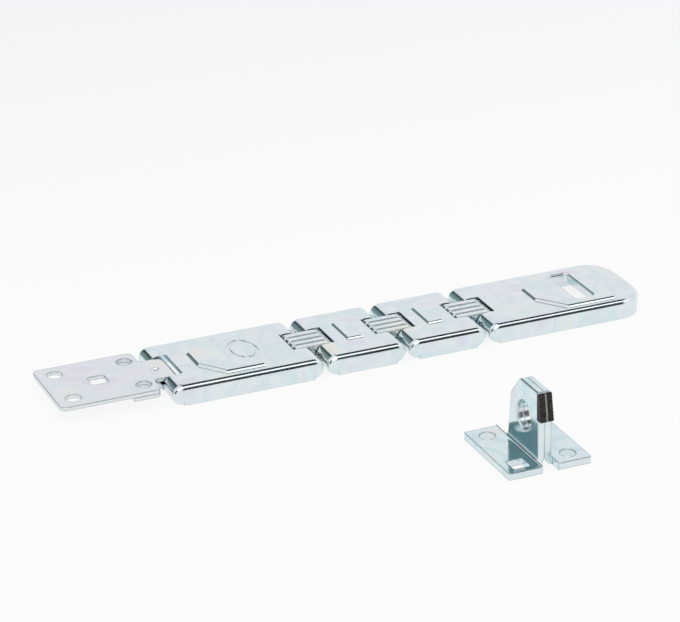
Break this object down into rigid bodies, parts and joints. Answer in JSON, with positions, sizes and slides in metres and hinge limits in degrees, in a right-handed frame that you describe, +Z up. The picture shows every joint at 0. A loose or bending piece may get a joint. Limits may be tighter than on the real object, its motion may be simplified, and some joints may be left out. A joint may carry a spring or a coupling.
{
  "type": "hinged hasp",
  "caption": "Jointed hasp of pressed steel bodies linked by hinge packs, with a fixed screw leaf, a slotted end and a separate welded staple with a padlock eye.",
  "frame": {"origin": "middle of the footprint of strap and staple together, on the surface they lie on", "axes": "+X along the strap from the fixed leaf to the slotted end, +Y from the staple to the strap, +Z up out of the pressed top faces"},
  "size_m": [0.231, 0.1332, 0.0271],
  "materials": {
    "zinc_pressing": "bright blue-passivated zinc plate, faintly iridescent",
    "zinc_leaf": "bright blue-passivated zinc plate",
    "pin_steel": "drawn steel, zinc plated",
    "pack_steel": "blanked and tumbled steel plates, zinc plated",
    "staple_zinc": "bright zinc plate over bent plate, darkened by the weld",
    "weld_bead": "burnt weld bead, dark and rough"
  },
  "bodies": {
    "fixed_parts": {"mounting_leaf": "zinc_leaf", "staple_plate_left": "staple_zinc", "staple_plate_right": "staple_zinc", "staple_weld": "weld_bead"},
    "base_link": {"base_link_shell": "zinc_pressing", "leaf_pin": "pin_steel", "link_pin_1": "pin_steel"},
    "pack_1": {"pack_1_plate_1": "pack_steel", "pack_1_plate_2": "pack_steel", "pack_1_plate_3": "pack_steel", "pack_1_plate_4": "pack_steel"},
    "middle_link_1": {"middle_link_shell_1": "zinc_pressing", "link_pin_2": "pin_steel", "link_pin_3": "pin_steel"},
    "pack_2": {"pack_2_plate_1": "pack_steel", "pack_2_plate_2": "pack_steel", "pack_2_plate_3": "pack_steel", "pack_2_plate_4": "pack_steel"},
    "middle_link_2": {"middle_link_shell_2": "zinc_pressing", "link_pin_4": "pin_steel", "link_pin_5": "pin_steel"},
    "pack_3": {"pack_3_plate_1": "pack_steel", "pack_3_plate_2": "pack_steel", "pack_3_plate_3": "pack_steel", "pack_3_plate_4": "pack_steel"},
    "slotted_link": {"slotted_link_shell": "zinc_pressing", "link_pin_6": "pin_steel"}
  },
  "joints": [
    {"name": "leaf_hinge", "type": "hinge", "parent": "fixed_parts", "child": "base_link", "pos_m": [-0.0712, 0.04815, 0.0036], "axis": [0, 1, 0], "range_deg": [-90, 180]},
    {"name": "pack_1_inner_hinge", "type": "hinge", "parent": "base_link", "child": "pack_1", "pos_m": [-0.021, 0.04815, 0.00395], "axis": [0, -1, 0], "range_deg": [-90, 90]},
    {"name": "pack_1_outer_hinge", "type": "hinge", "parent": "pack_1", "child": "middle_link_1", "pos_m": [-0.012, 0.04815, 0.00395], "axis": [0, -1, 0], "range_deg": [-90, 90]},
    {"name": "pack_2_inner_hinge", "type": "hinge", "parent": "middle_link_1", "child": "pack_2", "pos_m": [0.0114, 0.04815, 0.00395], "axis": [0, 1, 0], "range_deg": [-90, 90]},
    {"name": "pack_2_outer_hinge", "type": "hinge", "parent": "pack_2", "child": "middle_link_2", "pos_m": [0.0204, 0.04815, 0.00395], "axis": [0, 1, 0], "range_deg": [-90, 90]},
    {"name": "pack_3_inner_hinge", "type": "hinge", "parent": "middle_link_2", "child": "pack_3", "pos_m": [0.0438, 0.04815, 0.00395], "axis": [0, -1, 0], "range_deg": [-90, 90]},
    {"name": "pack_3_outer_hinge", "type": "hinge", "parent": "pack_3", "child": "slotted_link", "pos_m": [0.0528, 0.04815, 0.00395], "axis": [0, -1, 0], "range_deg": [-90, 90]}
  ]
}
